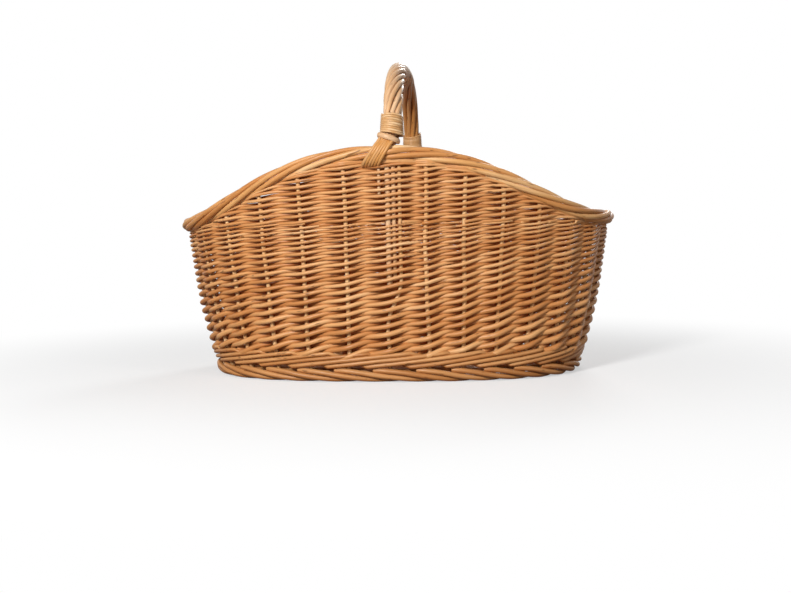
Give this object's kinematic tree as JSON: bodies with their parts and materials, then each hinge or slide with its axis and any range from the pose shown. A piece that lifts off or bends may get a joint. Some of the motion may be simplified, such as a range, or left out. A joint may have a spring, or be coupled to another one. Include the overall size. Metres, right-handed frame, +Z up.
{
  "type": "oval foraging basket",
  "caption": "Oval willow foraging basket with straight stakes, woven sides, a humped rolled rim and a fixed roped bow handle across its middle.",
  "frame": {"origin": "middle of the level face that the basket stands on", "axes": "+X along the basket's long side, -Y towards its front, +Z up"},
  "size_m": [0.715, 0.4927, 0.5069],
  "materials": {
    "stake_willow": "peeled buff willow, satin",
    "weave_willow": "peeled buff willow, satin",
    "handle_willow": "peeled pale willow, satin"
  },
  "bodies": {
    "root": {"foot_ring": "stake_willow", "base_weave": "weave_willow", "base_long_stick_1": "stake_willow", "base_long_stick_2": "stake_willow", "base_long_stick_3": "stake_willow", "base_cross_stick_1": "stake_willow", "base_cross_stick_2": "stake_willow", "base_cross_stick_3": "stake_willow", "base_cross_stick_4": "stake_willow", "base_cross_stick_5": "stake_willow", "stake_01": "stake_willow", "stake_02": "stake_willow", "stake_03": "stake_willow", "stake_04": "stake_willow", "stake_05": "stake_willow", "stake_06": "stake_willow", "stake_07": "stake_willow", "stake_08": "stake_willow", "stake_09": "stake_willow", "stake_10": "stake_willow", "stake_11": "stake_willow", "stake_12": "stake_willow", "stake_13": "stake_willow", "stake_14": "stake_willow", "stake_15": "stake_willow", "stake_16": "stake_willow", "stake_17": "stake_willow", "stake_18": "stake_willow", "stake_19": "stake_willow", "stake_20": "stake_willow", "stake_21": "stake_willow", "stake_22": "stake_willow", "stake_23": "stake_willow", "stake_24": "stake_willow", "stake_25": "stake_willow", "stake_26": "stake_willow", "stake_27": "stake_willow", "stake_28": "stake_willow", "upsett_rod_1": "weave_willow", "upsett_rod_2": "weave_willow", "upsett_rod_3": "weave_willow", "upsett_rod_4": "weave_willow", "side_weaver_1": "weave_willow", "side_weaver_2": "weave_willow", "side_weaver_3": "weave_willow", "side_weaver_4": "weave_willow", "packing_front": "weave_willow", "packing_back": "weave_willow", "handle_bow": "handle_willow", "handle_liner_front": "handle_willow", "handle_liner_back": "handle_willow", "handle_rope_1": "handle_willow", "handle_rope_2": "handle_willow", "handle_rope_3": "handle_willow", "handle_rope_4": "handle_willow", "binding_front": "handle_willow", "binding_back": "handle_willow"}
  },
  "joints": []
}
